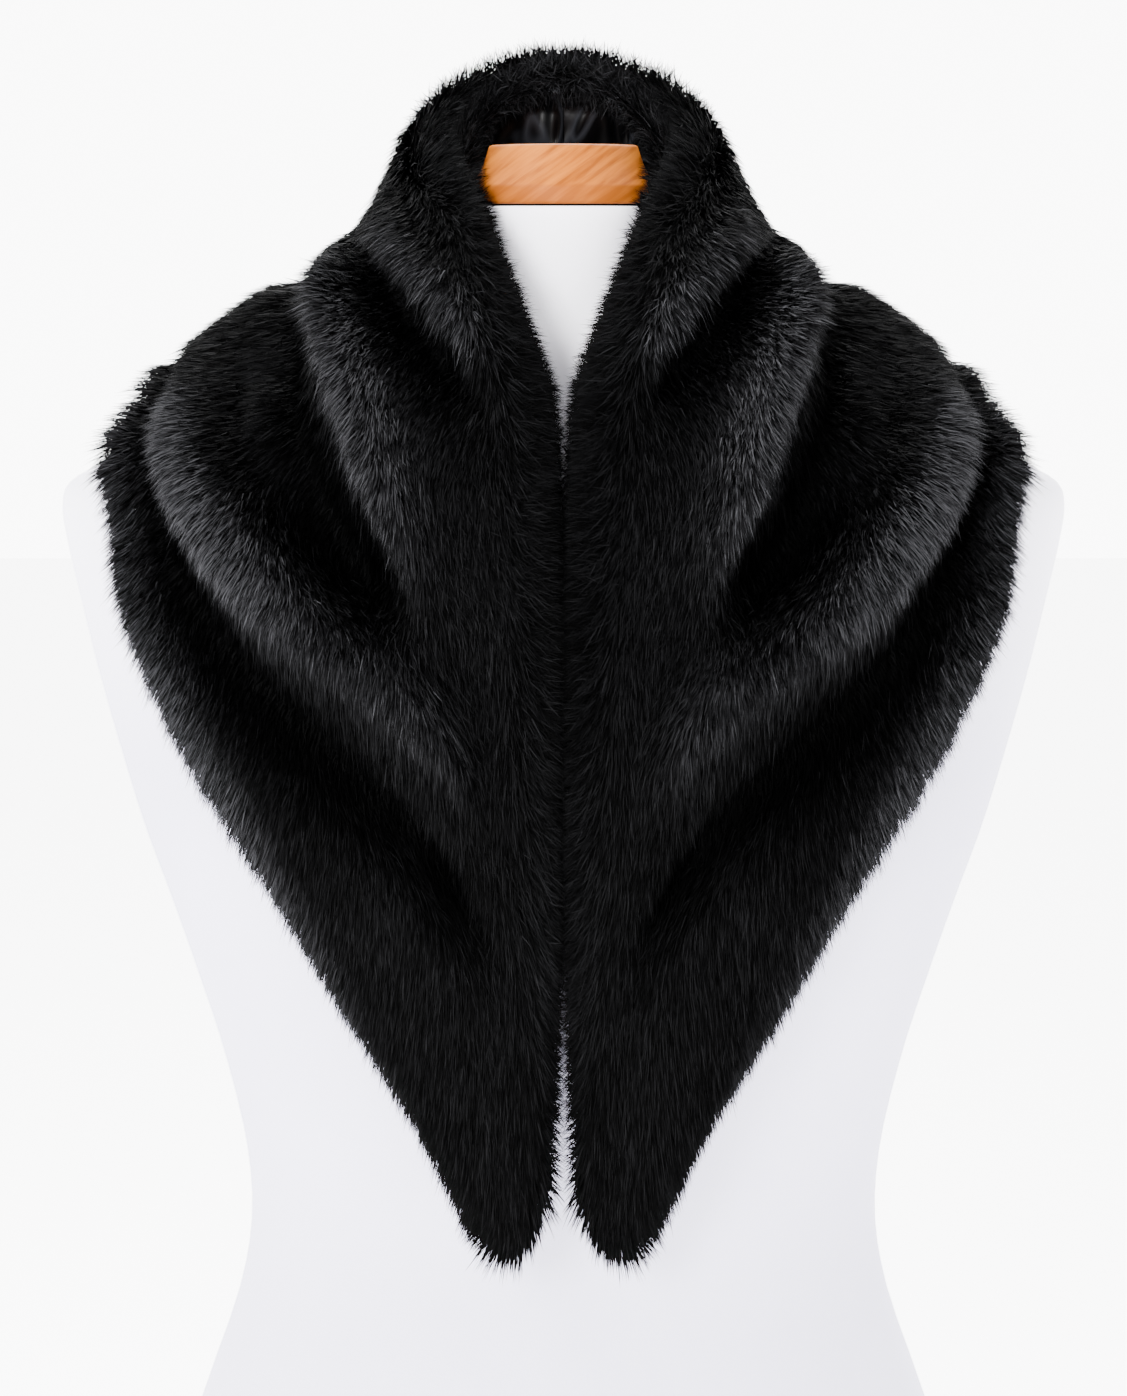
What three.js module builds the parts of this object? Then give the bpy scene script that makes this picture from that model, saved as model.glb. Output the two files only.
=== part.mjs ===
// A long-pile fur collar wrap, closed edge to edge down the front, on the limbless dress form that
// carries it.
// Sizes are in millimetres. +Z is up, the front faces -Y, and the wearer's left side is at +X.
import * as THREE from "three";

// Driving sizes of the wrap
const pileDepth = 22; // pelt and pile together, in the middle of a panel
const rimDepth = 2; // the wall at its very edge
const edgeRound = 20; // how far from an edge the pile is rounded over
const turnedFur = 7; // how far the pile stands on the inner side, where the fur is turned over the neck edge
const turnedWidth = 22; // how far the turned fur runs in from the neck edge
const turnedFade = 200; // the turned fur thins out over this length above the front point
const seamGap = 0.3; // between neighbouring pieces
const formClearance = 4.1; // between the fur wall and the dress form
const foldHollow = 0.5; // share of a fold's rise that its inner side follows
const bandLength = 640; // of one half along its neck edge, centre back to front point
const alongCells = 46; // steps of a half's grid along the band
const turnedCells = 4; // and across it, over the turned fur
const hemCells = 18; // and from there to the hem

// Driving sizes of the lining, which shows round the neck and along the front edges
const liningDepth = 1.2;
const liningGap = 1.45; // to the fur wall that it is sewn to
const liningCells = 6; // grid steps that it reaches over, about 60 mm
const liningAlongCells = 54;
const liningEnd = 0.93; // it stops short of the front point, as a share of the way to it
const gatherCount = 8; // puckers on each side of the centre back seam
const gatherDepth = 2.4;
const gatherEnd = 0.2; // the puckers run out here, as a share of the way from centre back to point
const gatherFade = 0.05; // over this share

// Rows of values under named columns
const table = (names, rows) => rows.map((row) => Object.fromEntries(names.map((name, i) => [name, row[i]])));

// One row for each section of the wearer's left half, from the centre back to the front point. The
// columns are points on the pelt's inner side: neck edge, collar, the fold under the collar, the
// shoulder drape and the hem.
const sections = table(
  ["at", "edge", "collar", "fold", "drape", "hem"],
  [
    ["centre back", [0, 56, 733], [0, 62, 694], [0, 72, 645], [0, 97, 568], [0, 106, 482]],
    ["back of neck", [23, 50, 727], [31, 55, 692], [46, 66, 645], [70, 88, 572], [82, 101, 487]],
    ["behind ear", [38, 25, 712], [48, 30, 683], [65, 38, 640], [119, 58, 596], [145, 84, 523]],
    ["shoulder", [41, -4, 697], [51, -4, 671], [70, -2, 637], [129, 2, 603], [163, 12, 579]],
    ["side of throat", [34, -30, 676], [46, -33, 653], [71, -36, 621], [129, -42, 581], [176, -52, 540]],
    ["throat", [24, -50, 651], [41, -57, 630], [74, -64, 597], [128, -76, 552], [171, -78, 502]],
    ["collar bone", [14, -70, 620], [33, -78, 600], [66, -86, 565], [114, -95, 513], [153, -94, 462]],
    ["upper chest", [5, -93, 581], [23, -100, 559], [53, -107, 524], [93, -113, 472], [129, -106, 424]],
    ["chest", [1, -117, 528], [17, -120, 507], [41, -124, 473], [74, -124, 427], [103, -113, 386]],
    ["bust line", [1, -127, 465], [16, -129, 445], [34, -130, 416], [58, -127, 381], [79, -119, 346]],
    ["ribs", [1, -130, 396], [12, -130, 379], [25, -129, 357], [42, -126, 331], [55, -120, 306]],
    ["above point", [4.5, -125, 330], [12, -125, 317], [19, -124, 303], [30, -122, 287], [39, -118, 275]],
    ["front point", [8, -118, 268], [10, -118, 258], [13, -117, 252], [18, -116, 250], [26, -115, 257]],
  ],
);

// One row for each soft fold. start and end: the stretch it runs over, as shares of the way from centre
// back to point. from, middle, to: its place between neck edge and hem along that stretch. rise: its
// height, a trough's is negative. inner and outer: its half-widths towards the neck edge and the hem.
const folds = table(
  ["name", "start", "end", "from", "middle", "to", "rise", "inner", "outer"],
  [
    ["neck roll", 0.2, 0.56, 0.34, 0.29, 0.17, 7, 0.09, 0.05],
    ["collar trough", 0.26, 0.56, 0.41, 0.35, 0.24, -11, 0.045, 0.05],
    ["collar swell", -0.3, 0.66, 0.48, 0.52, 0.48, 5, 0.14, 0.08],
    ["collar roll", 0.25, 0.62, 0.54, 0.51, 0.51, 16, 0.07, 0.045],
    ["under collar", -0.3, 0.42, 0.6, 0.61, 0.63, -4, 0.04, 0.04],
    ["deep tuck", 0.24, 0.63, 0.66, 0.64, 0.55, -18, 0.05, 0.06],
    ["tucked fold", 0.26, 0.48, 0.66, 0.665, 0.64, 11, 0.028, 0.03],
    ["shoulder fold", 0.25, 0.75, 0.79, 0.735, 0.4, 14, 0.06, 0.05],
    ["hem trough", 0.2, 0.82, 0.84, 0.835, 0.46, -12, 0.04, 0.045],
  ],
);
const foldStart = 0.14; // a fold grows to its full height over this share
const foldEnd = 0.1; // and dies away over this one

// One row for each ring of the dress form, from the flat base up to the neck. front and back are
// depths from y = 0.
const formRings = table(
  ["z", "halfWidth", "front", "back", "square"],
  [
    [0, 166, 106, 112, 2.3],
    [4, 170, 110, 116, 2.3],
    [40, 174, 112, 119, 2.3],
    [80, 174, 112, 119, 2.3],
    [120, 168, 109, 115, 2.3],
    [170, 152, 102, 104, 2.3],
    [214, 137, 96, 91, 2.3],
    [245, 132, 93, 84, 2.3],
    [275, 134, 95, 82, 2.3],
    [315, 143, 103, 84, 2.35],
    [349, 153.5, 112, 88, 2.4],
    [380, 164, 118, 91, 2.4],
    [412, 175.5, 121, 95, 2.4],
    [445, 185.5, 118, 98, 2.4],
    [479, 195, 110, 100, 2.4],
    [510, 202.5, 97, 99, 2.4],
    [530, 207, 87, 97, 2.4],
    [544, 209, 80, 94, 2.4],
    [553, 207, 76, 91, 2.35],
    [561, 194, 71, 87, 2.3],
    [572, 162, 63, 79, 2.25],
    [586, 121, 55, 70, 2.2],
    [600, 82, 48, 62, 2.1],
    [613, 59, 44, 55, 2.05],
    [628, 46, 40, 50, 2],
    [648, 40.5, 38, 46, 2],
    [667.5, 39.5, 37.5, 45, 2],
    [669.1, 38.5, 36.5, 44, 2],
  ],
);

// The wooden neck cap: a square-edged foot, and a coved bevel up to a flat top
const capRings = table(
  ["z", "halfWidth", "front", "back", "square"],
  [
    [669.4, 38.4, 36.4, 43.9, 2],
    [670.2, 39.2, 37.2, 44.7, 2],
    [676.7, 39.2, 37.2, 44.7, 2],
    [677.5, 38.6, 36.6, 44.1, 2],
    [681.5, 35.4, 33.6, 41, 2],
    [686.5, 33, 31.4, 38.6, 2],
    [691.5, 31.4, 29.9, 37, 2],
    [693.1, 30, 28.6, 35.6, 2],
    [693.7, 26, 24.8, 31.6, 2],
  ],
);

const formSegments = 36; // round the dress form and its cap

const fur = new THREE.MeshStandardMaterial({ color: 0x0b0b0c, roughness: 0.85, metalness: 0 });
const satin = new THREE.MeshStandardMaterial({ color: 0x0d0d0f, roughness: 0.32, metalness: 0 });
const jersey = new THREE.MeshStandardMaterial({ color: 0xececf0, roughness: 0.9, metalness: 0 });
const wood = new THREE.MeshStandardMaterial({ color: 0xc98d55, roughness: 0.5, metalness: 0 });

const between = (low, high, t) => low + (high - low) * t;
const clamp01 = (t) => Math.min(1, Math.max(0, t));
const smooth = (t) => clamp01(t) ** 2 * (3 - 2 * clamp01(t));
const quarterRound = (t) => Math.sqrt(1 - (1 - clamp01(t)) ** 2);

// The dress form at one height, between its rings. Its top ring is carried on upward.
const bodyRings = [...formRings, ...capRings.slice(1)];
function ringAt(z) {
  const above = bodyRings.findIndex((ring) => ring.z >= z);
  if (above === 0) return bodyRings[0];
  if (above < 0) return bodyRings.at(-1);
  const [low, high] = [bodyRings[above - 1], bodyRings[above]];
  const t = (z - low.z) / (high.z - low.z);
  const mixed = {};
  for (const key of Object.keys(low)) mixed[key] = between(low[key], high[key], t);
  return mixed;
}

// Level distance of a point from the dress form's side, negative inside it
function beyondForm(p) {
  const ring = ringAt(p.z);
  const depth = p.y < 0 ? ring.front : ring.back;
  const power = Math.abs(p.x / ring.halfWidth) ** ring.square + Math.abs(p.y / depth) ** ring.square;
  return Math.hypot(p.x, p.y) * (1 - 1 / Math.max(power, 1e-6) ** (1 / ring.square));
}

// Moves a point straight out of the dress form until it is clear of it by a gap
function clearOfForm(p, gap) {
  const probe = 0.5;
  for (let pass = 0; pass < 6; pass++) {
    const level = beyondForm(p);
    if (level > 3 * gap) return p;
    const slope = new THREE.Vector3(
      beyondForm(p.clone().setX(p.x + probe)) - level,
      beyondForm(p.clone().setY(p.y + probe)) - level,
      beyondForm(p.clone().setZ(p.z + probe)) - level,
    ).divideScalar(probe);
    const steepness = slope.length();
    const distance = level / steepness;
    if (!Number.isFinite(distance) || distance >= gap) return p;
    p.addScaledVector(slope.divideScalar(steepness), gap - distance);
  }
  return p;
}

// Columns of the section table as curves from one front point round the back to the other
const columns = ["edge", "collar", "fold", "drape", "hem"];
const columnCurves = columns.map((column) => {
  const half = sections.map((row) => new THREE.Vector3(...row[column]));
  const otherHalf = half.slice(1).reverse().map((p) => new THREE.Vector3(-p.x, p.y, p.z));
  return new THREE.CatmullRomCurve3([...otherHalf, ...half]);
});

// The section at a share u of the way from centre back to front point
function sectionAt(u) {
  const points = columnCurves.map((column) => column.getPoint(clamp01(0.5 + u / 2)));
  const curve = new THREE.CatmullRomCurve3(points);
  curve.width = curve.getLength();
  return curve;
}

function foldHeight(u, v) {
  let height = 0;
  for (const fold of folds) {
    if (u <= fold.start || u >= fold.end) continue;
    const t = (u - Math.max(0, fold.start)) / (fold.end - Math.max(0, fold.start));
    const outerShares = fold.from * (1 - t) * (1 - 2 * t) + fold.to * t * (2 * t - 1);
    const place = outerShares + 4 * fold.middle * t * (1 - t);
    const halfWidth = v < place ? fold.inner : fold.outer;
    const fade = smooth((u - fold.start) / foldStart) * smooth((fold.end - u) / foldEnd);
    height += fold.rise * fade * Math.exp(-(((v - place) / halfWidth) ** 2));
  }
  return height;
}

// A place on the half band: its point on the pelt's inner side, outward normal and distances from
// the free edges
function bandPlace(u, v, section, before, after) {
  const step = 0.01;
  const point = section.getPoint(v);
  const along = after.getPoint(v).sub(before.getPoint(v));
  const across = section.getPoint(Math.min(1, v + step)).sub(section.getPoint(Math.max(0, v - step)));
  return {
    point: clearOfForm(point.clone(), formClearance),
    normal: new THREE.Vector3().crossVectors(along, across).normalize(),
    fromNeck: point.distanceTo(section.getPoint(0)),
    fromHem: point.distanceTo(section.getPoint(1)),
    fromTip: (1 - u) * bandLength,
  };
}

// How far the fur wall's two sides stand from the pelt's inner side, measured outward
function furDepths(u, v, place) {
  const rounded =
    quarterRound(place.fromNeck / edgeRound) *
    quarterRound(place.fromHem / edgeRound) *
    quarterRound(place.fromTip / edgeRound);
  const rise = foldHeight(u, v);
  const bulge = Math.sin(Math.PI * clamp01(place.fromNeck / turnedWidth));
  const turned = bulge * smooth(place.fromTip / turnedFade);
  return {
    outer: rimDepth + (pileDepth - rimDepth + rise) * rounded,
    inner: foldHollow * Math.max(0, rise) * rounded - turnedFur * turned,
  };
}

// A point at a depth from a place, on the wearer's left of the centre plane and clear of the form
function atDepth(place, depth, gap) {
  const p = place.point.clone().addScaledVector(place.normal, depth);
  clearOfForm(p, gap);
  return p.setX(Math.max(p.x, seamGap / 2));
}

// A closed wall between two grids of points, whose rows run along the band
function wallGeometry(outer, inner) {
  const rows = outer.length;
  const cells = outer[0].length;
  const positions = [...outer.flat(), ...inner.flat()].flatMap((p) => [p.x, p.y, p.z]);
  const faces = [];
  const outerAt = (i, j) => i * cells + j;
  const innerAt = (i, j) => (rows + i) * cells + j;
  const quad = (a, b, c, d) => faces.push(a, b, c, a, c, d);
  for (let i = 0; i < rows - 1; i++) {
    for (let j = 0; j < cells - 1; j++) {
      quad(outerAt(i, j), outerAt(i + 1, j), outerAt(i + 1, j + 1), outerAt(i, j + 1));
      quad(innerAt(i, j), innerAt(i, j + 1), innerAt(i + 1, j + 1), innerAt(i + 1, j));
    }
    quad(outerAt(i, 0), innerAt(i, 0), innerAt(i + 1, 0), outerAt(i + 1, 0));
    quad(outerAt(i, cells - 1), outerAt(i + 1, cells - 1), innerAt(i + 1, cells - 1), innerAt(i, cells - 1));
  }
  for (let j = 0; j < cells - 1; j++) {
    quad(outerAt(0, j), outerAt(0, j + 1), innerAt(0, j + 1), innerAt(0, j));
    quad(outerAt(rows - 1, j), innerAt(rows - 1, j), innerAt(rows - 1, j + 1), outerAt(rows - 1, j + 1));
  }
  return new THREE.BufferGeometry()
    .setAttribute("position", new THREE.Float32BufferAttribute(positions, 3))
    .setIndex(faces);
}

// The same wall on the other side of the body
function mirrored(geometry) {
  const other = geometry.clone().applyMatrix4(new THREE.Matrix4().makeScale(-1, 1, 1));
  const index = other.index.array;
  for (let i = 0; i < index.length; i += 3) [index[i + 1], index[i + 2]] = [index[i + 2], index[i + 1]];
  return other;
}

// Walks a grid over the half band. acrossAt gives a section's steps, and wall the two points at each place.
function bandGeometry(alongSteps, acrossAt, wall) {
  const step = 0.008;
  const outer = [];
  const inner = [];
  for (const u of alongSteps) {
    const section = sectionAt(u);
    const [before, after] = [sectionAt(u - step), sectionAt(u + step)];
    const pairs = acrossAt(section).map((v) => wall(u, v, bandPlace(u, v, section, before, after)));
    outer.push(pairs.map((pair) => pair.outer));
    inner.push(pairs.map((pair) => pair.inner));
  }
  return wallGeometry(outer, inner);
}

const steps = (count, spread = (t) => t) => Array.from({ length: count + 1 }, (_, i) => spread(i / count));

// Steps over a section: a few over the turned fur, and the rest closer together towards the hem
function acrossSteps(section) {
  const turned = turnedWidth / section.width;
  const closerAtHem = (t) => between(turned, 1, between(t, Math.sin((Math.PI * t) / 2), 0.5));
  return [...steps(turnedCells, (t) => turned * t).slice(0, -1), ...steps(hemCells, closerAtHem)];
}

function furGeometry() {
  const closerAtBack = (t) => t ** 1.3;
  return bandGeometry(steps(alongCells, closerAtBack), acrossSteps, (u, v, place) => {
    const { outer, inner } = furDepths(u, v, place);
    return { outer: atDepth(place, outer, formClearance), inner: atDepth(place, inner, formClearance) };
  });
}

// The lining starts under the turned fur and is gathered round the back of the neck
function liningGeometry() {
  const closerAtBack = (t) => liningEnd * t ** 1.5;
  const acrossAt = (section) => acrossSteps(section).slice(turnedCells, turnedCells + liningCells + 1);
  return bandGeometry(steps(liningAlongCells, closerAtBack), acrossAt, (u, v, place) => {
    const inside = furDepths(u, v, place).inner - liningGap;
    const pucker = (1 - Math.cos((2 * Math.PI * gatherCount * u) / gatherEnd)) / 2;
    const drop = gatherDepth * pucker * smooth((gatherEnd - u) / gatherFade);
    const gap = formClearance - liningGap;
    return {
      outer: atDepth(place, inside, gap),
      inner: atDepth(place, inside - liningDepth - drop, gap - liningDepth),
    };
  });
}

// A closed solid through level rings, with a flat fan over its foot and its top
function ringSolid(rings, segments) {
  const power = (value, exponent) => Math.sign(value) * Math.abs(value) ** exponent;
  const positions = [];
  for (const ring of rings) {
    for (let s = 0; s < segments; s++) {
      const angle = (2 * Math.PI * s) / segments;
      const [x, y] = [Math.cos(angle), Math.sin(angle)].map((value) => power(value, 2 / ring.square));
      positions.push(x * ring.halfWidth, y * (y < 0 ? ring.front : ring.back), ring.z);
    }
  }
  const foot = positions.push(0, 0, rings[0].z) / 3 - 1;
  const top = positions.push(0, 0, rings.at(-1).z) / 3 - 1;
  const faces = [];
  for (let s = 0; s < segments; s++) {
    const next = (s + 1) % segments;
    for (let r = 0; r < rings.length - 1; r++) {
      const [low, high] = [r * segments, (r + 1) * segments];
      faces.push(low + s, low + next, high + next, low + s, high + next, high + s);
    }
    const last = (rings.length - 1) * segments;
    faces.push(foot, next, s, top, last + s, last + next);
  }
  return new THREE.BufferGeometry()
    .setAttribute("position", new THREE.Float32BufferAttribute(positions, 3))
    .setIndex(faces);
}

function piece(name, geometry, material) {
  const mesh = new THREE.Mesh(geometry, material);
  mesh.name = name;
  return mesh;
}

const furLeft = furGeometry();
const liningLeft = liningGeometry();
const group = new THREE.Group();
group.add(
  piece("fur_left", furLeft, fur),
  piece("fur_right", mirrored(furLeft), fur),
  piece("lining_left", liningLeft, satin),
  piece("lining_right", mirrored(liningLeft), satin),
  piece("form_torso", ringSolid(formRings, formSegments), jersey),
  piece("neck_cap", ringSolid(capRings, formSegments), wood),
);

// The origin is on the floor, in the middle of the part's depth
const bounds = new THREE.Box3().setFromObject(group);
group.position.y = -(bounds.min.y + bounds.max.y) / 2;

export default group;
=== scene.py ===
import math
import bpy
import numpy as np
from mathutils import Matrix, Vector


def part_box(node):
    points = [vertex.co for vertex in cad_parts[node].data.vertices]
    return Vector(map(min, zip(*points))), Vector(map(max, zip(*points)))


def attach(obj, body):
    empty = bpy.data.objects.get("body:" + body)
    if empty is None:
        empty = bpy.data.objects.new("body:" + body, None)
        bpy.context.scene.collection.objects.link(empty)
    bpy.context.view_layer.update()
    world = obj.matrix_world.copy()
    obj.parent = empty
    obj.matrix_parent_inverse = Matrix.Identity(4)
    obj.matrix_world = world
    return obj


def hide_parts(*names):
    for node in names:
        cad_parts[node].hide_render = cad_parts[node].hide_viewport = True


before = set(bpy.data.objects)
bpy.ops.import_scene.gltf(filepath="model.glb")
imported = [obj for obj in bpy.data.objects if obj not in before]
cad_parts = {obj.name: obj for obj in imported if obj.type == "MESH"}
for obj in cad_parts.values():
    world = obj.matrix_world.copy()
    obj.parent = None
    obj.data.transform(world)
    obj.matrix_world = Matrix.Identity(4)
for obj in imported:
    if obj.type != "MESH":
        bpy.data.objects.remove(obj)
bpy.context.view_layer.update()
print("frame loaded")

# The CAD numbers are in millimetres, from the middle of the body. This shift takes them to the part's
# own frame.
formBehind = 0.119
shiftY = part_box("form_torso")[1][1] - formBehind


def toFrame(points):
    out = np.asarray(points, float) / 1000
    out[..., 1] += shiftY
    return out


# View, studio and floor

view = {
    "pixelsHigh": 1396, "distance": 1.95, "mmPerPixel": 0.42,
    "elevation": 6.0, "aimHeight": 0.463, "sensor": 36.0,
}
floorLook = {"size": 14, "below": 0.0005, "colour": (0.94, 0.94, 0.945, 1), "roughness": 0.9, "glow": 4.0}


def addCamera(v):
    aim = Vector((0, shiftY, v["aimHeight"]))
    tilt = math.radians(v["elevation"])
    lens = v["distance"] * 1000 / v["mmPerPixel"] / v["pixelsHigh"] * v["sensor"]
    data = bpy.data.cameras.new("photoCamera")
    data.sensor_width = v["sensor"]
    data.lens = lens
    camera = bpy.data.objects.new("photoCamera", data)
    bpy.context.scene.collection.objects.link(camera)
    camera.location = aim + Vector((0, -math.cos(tilt), math.sin(tilt))) * v["distance"]
    camera.rotation_euler = (math.pi / 2 - tilt, 0, 0)
    bpy.context.scene.camera = camera


lamps = [
    # name, place, size, power, aim height
    ("topLeft", (-1.3, -0.9, 2.3), 0.9, 95, 0.45),
    ("topRight", (1.3, -0.9, 2.3), 0.9, 40, 0.45),
    ("topBack", (0.0, 1.2, 2.2), 1.2, 40, 0.5),
    ("frontFill", (-1.0, -2.6, 0.95), 1.0, 170, 0.4),
]


def addLamp(name, place, size, power, aimHeight):
    data = bpy.data.lights.new(name, "AREA")
    data.shape = "DISK"
    data.size = size
    data.energy = power
    lamp = bpy.data.objects.new(name, data)
    bpy.context.scene.collection.objects.link(lamp)
    lamp.location = place
    aim = Vector((0, 0, aimHeight)) - Vector(place)
    lamp.rotation_euler = aim.to_track_quat("-Z", "Y").to_euler()


backdrop = {"front": 1.9, "behind": 10.0, "from": 0.0, "to": 0.7}


def addWorld(b):  # a white sweep behind the form, with dimmer soft light in front of it
    world = bpy.data.worlds.new("paleStudio")
    bpy.context.scene.world = world
    world.use_nodes = True
    tree = world.node_tree
    background = tree.nodes["Background"]
    background.inputs["Color"].default_value = (1.0, 1.0, 1.0, 1)
    place = tree.nodes.new("ShaderNodeTexCoord")
    split = tree.nodes.new("ShaderNodeSeparateXYZ")
    spread = tree.nodes.new("ShaderNodeMapRange")
    spread.interpolation_type = "SMOOTHSTEP"
    limits = {"From Min": b["from"], "From Max": b["to"], "To Min": b["front"], "To Max": b["behind"]}
    for name, value in limits.items():
        spread.inputs[name].default_value = value
    tree.links.new(place.outputs["Generated"], split.inputs["Vector"])
    tree.links.new(split.outputs["Y"], spread.inputs["Value"])
    tree.links.new(spread.outputs["Result"], background.inputs["Strength"])


def addFloor(f):
    bpy.ops.object.select_all(action="DESELECT")
    bpy.ops.mesh.primitive_plane_add(size=f["size"], location=(0, 0, -f["below"]))
    floor = bpy.context.object
    floor.name = "studioFloor"
    material = bpy.data.materials.new("paleFloor")
    material.use_nodes = True
    surface = material.node_tree.nodes["Principled BSDF"]
    surface.inputs["Base Color"].default_value = f["colour"]
    surface.inputs["Roughness"].default_value = f["roughness"]
    surface.inputs["Emission Color"].default_value = (1.0, 1.0, 1.0, 1)
    surface.inputs["Emission Strength"].default_value = f["glow"]
    floor.data.materials.append(material)


addCamera(view)
for lamp in lamps:
    addLamp(*lamp)
addWorld(backdrop)
addFloor(floorLook)
print("camera and lights set")


# The dress form's rings: height, half width, depth in front, depth behind, squareness

formRings = [
    (0, 166, 106, 112, 2.3), (4, 170, 110, 116, 2.3), (40, 174, 112, 119, 2.3), (80, 174, 112, 119, 2.3),
    (120, 168, 109, 115, 2.3), (170, 152, 102, 104, 2.3), (214, 137, 96, 91, 2.3), (245, 132, 93, 84, 2.3),
    (275, 134, 95, 82, 2.3), (315, 143, 103, 84, 2.35), (349, 153.5, 112, 88, 2.4), (380, 164, 118, 91, 2.4),
    (412, 175.5, 121, 95, 2.4), (445, 185.5, 118, 98, 2.4), (479, 195, 110, 100, 2.4),
    (510, 202.5, 97, 99, 2.4), (530, 207, 87, 97, 2.4), (544, 209, 80, 94, 2.4), (553, 207, 76, 91, 2.35),
    (561, 194, 71, 87, 2.3), (572, 162, 63, 79, 2.25), (586, 121, 55, 70, 2.2), (600, 82, 48, 62, 2.1),
    (613, 59, 44, 55, 2.05), (628, 46, 40, 50, 2), (648, 40.5, 38, 46, 2), (667.1, 39.5, 37.5, 45, 2),
    (668.5, 38.5, 36.5, 44, 2),
]
capRings = [
    (669.4, 38.4, 36.4, 43.9, 2), (670.2, 39.2, 37.2, 44.7, 2), (676.7, 39.2, 37.2, 44.7, 2),
    (677.5, 38.6, 36.6, 44.1, 2), (681.5, 35.4, 33.6, 41, 2), (686.5, 33, 31.4, 38.6, 2),
    (691.5, 31.4, 29.9, 37, 2), (693.2, 30.9, 29.4, 36.5, 2), (693.6, 29.8, 28.3, 35.4, 2),
]
bodyRings = np.array(formRings + capRings[1:], float)


# The wrap, as in CAD. Each section runs from the neck edge to the hem of the wearer's left half.

wrap = {
    "pileDepth": 22, "rimDepth": 2, "edgeRound": 20, "turnedFur": 7, "turnedWidth": 22, "turnedFade": 200,
    "formClearance": 4.1, "foldHollow": 0.5, "bandLength": 640, "seamGap": 0.3, "seamFade": 0.05,
}
clearing = {"rounds": 6, "probe": 0.5, "reach": 3}
sections = [
    # neck edge, collar, fold, drape, hem
    [(0, 56, 733), (0, 62, 694), (0, 72, 645), (0, 97, 568), (0, 106, 482)],
    [(23, 50, 727), (31, 55, 692), (46, 66, 645), (70, 88, 572), (82, 101, 487)],
    [(38, 25, 712), (48, 30, 683), (65, 38, 640), (119, 58, 596), (145, 84, 523)],
    [(41, -4, 697), (51, -4, 671), (70, -2, 637), (129, 2, 603), (163, 12, 579)],
    [(34, -30, 676), (46, -33, 653), (71, -36, 621), (129, -42, 581), (176, -52, 540)],
    [(24, -50, 651), (41, -57, 630), (74, -64, 597), (128, -76, 552), (171, -78, 502)],
    [(14, -70, 620), (33, -78, 600), (66, -86, 565), (114, -95, 513), (153, -94, 462)],
    [(5, -93, 581), (23, -100, 559), (53, -107, 524), (93, -113, 472), (129, -106, 424)],
    [(1, -117, 528), (17, -120, 507), (41, -124, 473), (74, -124, 427), (103, -113, 386)],
    [(1, -127, 465), (16, -129, 445), (34, -130, 416), (58, -127, 381), (79, -119, 346)],
    [(1, -130, 396), (12, -130, 379), (25, -129, 357), (42, -126, 331), (55, -120, 306)],
    [(4.5, -125, 330), (12, -125, 317), (19, -124, 303), (30, -122, 287), (39, -118, 275)],
    [(8, -118, 268), (10, -118, 258), (13, -117, 252), (18, -116, 250), (26, -115, 257)],
]
folds = [
    # start, end, place at start, middle and end, rise, half widths towards neck and hem
    (0.2, 0.56, 0.34, 0.29, 0.17, 7, 0.09, 0.05),  # neck roll
    (0.26, 0.56, 0.41, 0.35, 0.24, -11, 0.045, 0.05),  # collar trough
    (-0.3, 0.66, 0.48, 0.52, 0.48, 5, 0.14, 0.08),  # collar swell
    (0.25, 0.62, 0.54, 0.51, 0.51, 16, 0.07, 0.045),  # collar roll
    (-0.3, 0.42, 0.6, 0.61, 0.63, -4, 0.04, 0.04),  # under collar
    (0.24, 0.63, 0.66, 0.64, 0.55, -18, 0.05, 0.06),  # deep tuck
    (0.26, 0.48, 0.66, 0.665, 0.64, 11, 0.028, 0.03),  # tucked fold
    (0.25, 0.75, 0.79, 0.735, 0.4, 14, 0.06, 0.05),  # shoulder fold
    (0.2, 0.82, 0.84, 0.835, 0.46, -12, 0.04, 0.045),  # hem trough
]
foldStart, foldEnd = 0.14, 0.1


def smooth(t):
    c = np.clip(t, 0, 1)
    return c * c * (3 - 2 * c)


def rising(x, start, width):
    return smooth((x - start) / width)


def falling(x, end, width):
    return smooth((end - x) / width)


def unitRows(a):
    return a / np.maximum(np.linalg.norm(a, axis=-1, keepdims=True), 1e-9)


def quarterRound(t):
    return np.sqrt(1 - (1 - np.clip(t, 0, 1)) ** 2)


def splineThrough(points, t):  # points (..., n, d) and t (..., k) give (..., k, d) on a centripetal curve
    n = points.shape[-2]
    first = 2 * points[..., :1, :] - points[..., 1:2, :]
    last = 2 * points[..., -1:, :] - points[..., -2:-1, :]
    padded = np.concatenate([first, points, last], axis=-2)
    along = np.clip(t, 0, 1) * (n - 1)
    index = np.minimum(along.astype(int), n - 2)
    w = (along - index)[..., None]

    def pick(step):
        return np.take_along_axis(padded, (index + step)[..., None], axis=-2)

    p0, p1, p2, p3 = (pick(k) for k in range(4))

    def knot(a, b):
        return np.maximum(np.linalg.norm(a - b, axis=-1, keepdims=True), 1e-9) ** 0.5

    d0, d1, d2 = knot(p0, p1), knot(p1, p2), knot(p2, p3)
    t1 = ((p1 - p0) / d0 - (p2 - p0) / (d0 + d1) + (p2 - p1) / d1) * d1
    t2 = ((p2 - p1) / d1 - (p3 - p1) / (d1 + d2) + (p3 - p2) / d2) * d1
    return p1 + t1 * w + (3 * (p2 - p1) - 2 * t1 - t2) * w**2 + (2 * (p1 - p2) + t1 + t2) * w**3


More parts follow.
